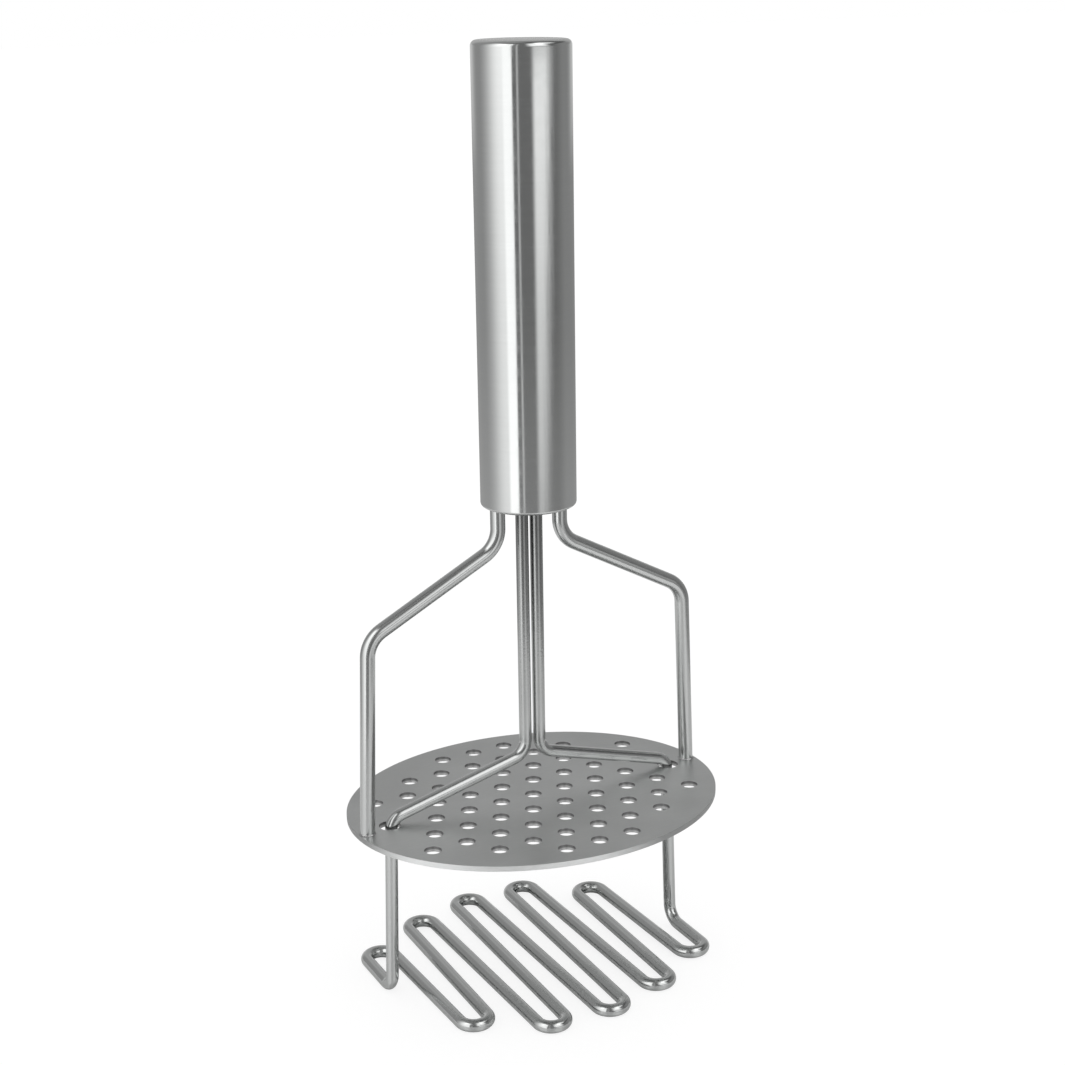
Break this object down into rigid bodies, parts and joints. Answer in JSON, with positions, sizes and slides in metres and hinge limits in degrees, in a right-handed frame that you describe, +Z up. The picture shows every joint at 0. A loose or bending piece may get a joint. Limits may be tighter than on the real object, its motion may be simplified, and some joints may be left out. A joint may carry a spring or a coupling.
{
  "type": "potato masher",
  "caption": "Sprung double potato masher: oval perforated plate on a wire frame, with a zigzag wire masher that slides up into a round steel handle.",
  "frame": {"origin": "on the floor, under the middle of the masher, at the foot of the handle's axis", "axes": "+Z up along the handle, X along the plate's long axis from the left leg to the right leg, +Y across the plate towards the back"},
  "size_m": [0.105, 0.086, 0.252],
  "materials": {
    "handle_steel": "satin, with fine grain along the tube",
    "cap_steel": "satin",
    "plug_steel": "turned",
    "guide_nylon": "moulded",
    "ring_steel": "dark spring steel",
    "leg_steel": "polished drawn wire",
    "weld_metal": "brushed weld bead",
    "plate_steel": "satin sheet",
    "wire_steel": "satin drawn wire",
    "plunger_steel": "turned",
    "spring_steel": "spring wire"
  },
  "bodies": {
    "handle": {"handle_tube": "handle_steel", "top_cap": "cap_steel", "end_plug": "plug_steel", "rod_guide": "guide_nylon", "retaining_ring": "ring_steel", "left_leg": "leg_steel", "right_leg": "leg_steel", "foot_welds": "weld_metal", "mashing_plate": "plate_steel", "spring": "spring_steel"},
    "masher": {"wave_wire": "wire_steel", "plunger": "plunger_steel", "rod_weld": "weld_metal"}
  },
  "joints": [
    {"name": "masher_slide", "type": "slide", "parent": "handle", "child": "masher", "axis": [0, 0, 1], "range_m": [0, 0.044], "stiffness_N_per_m": 350, "springref_m": -0.023, "deforming": ["spring"]}
  ]
}
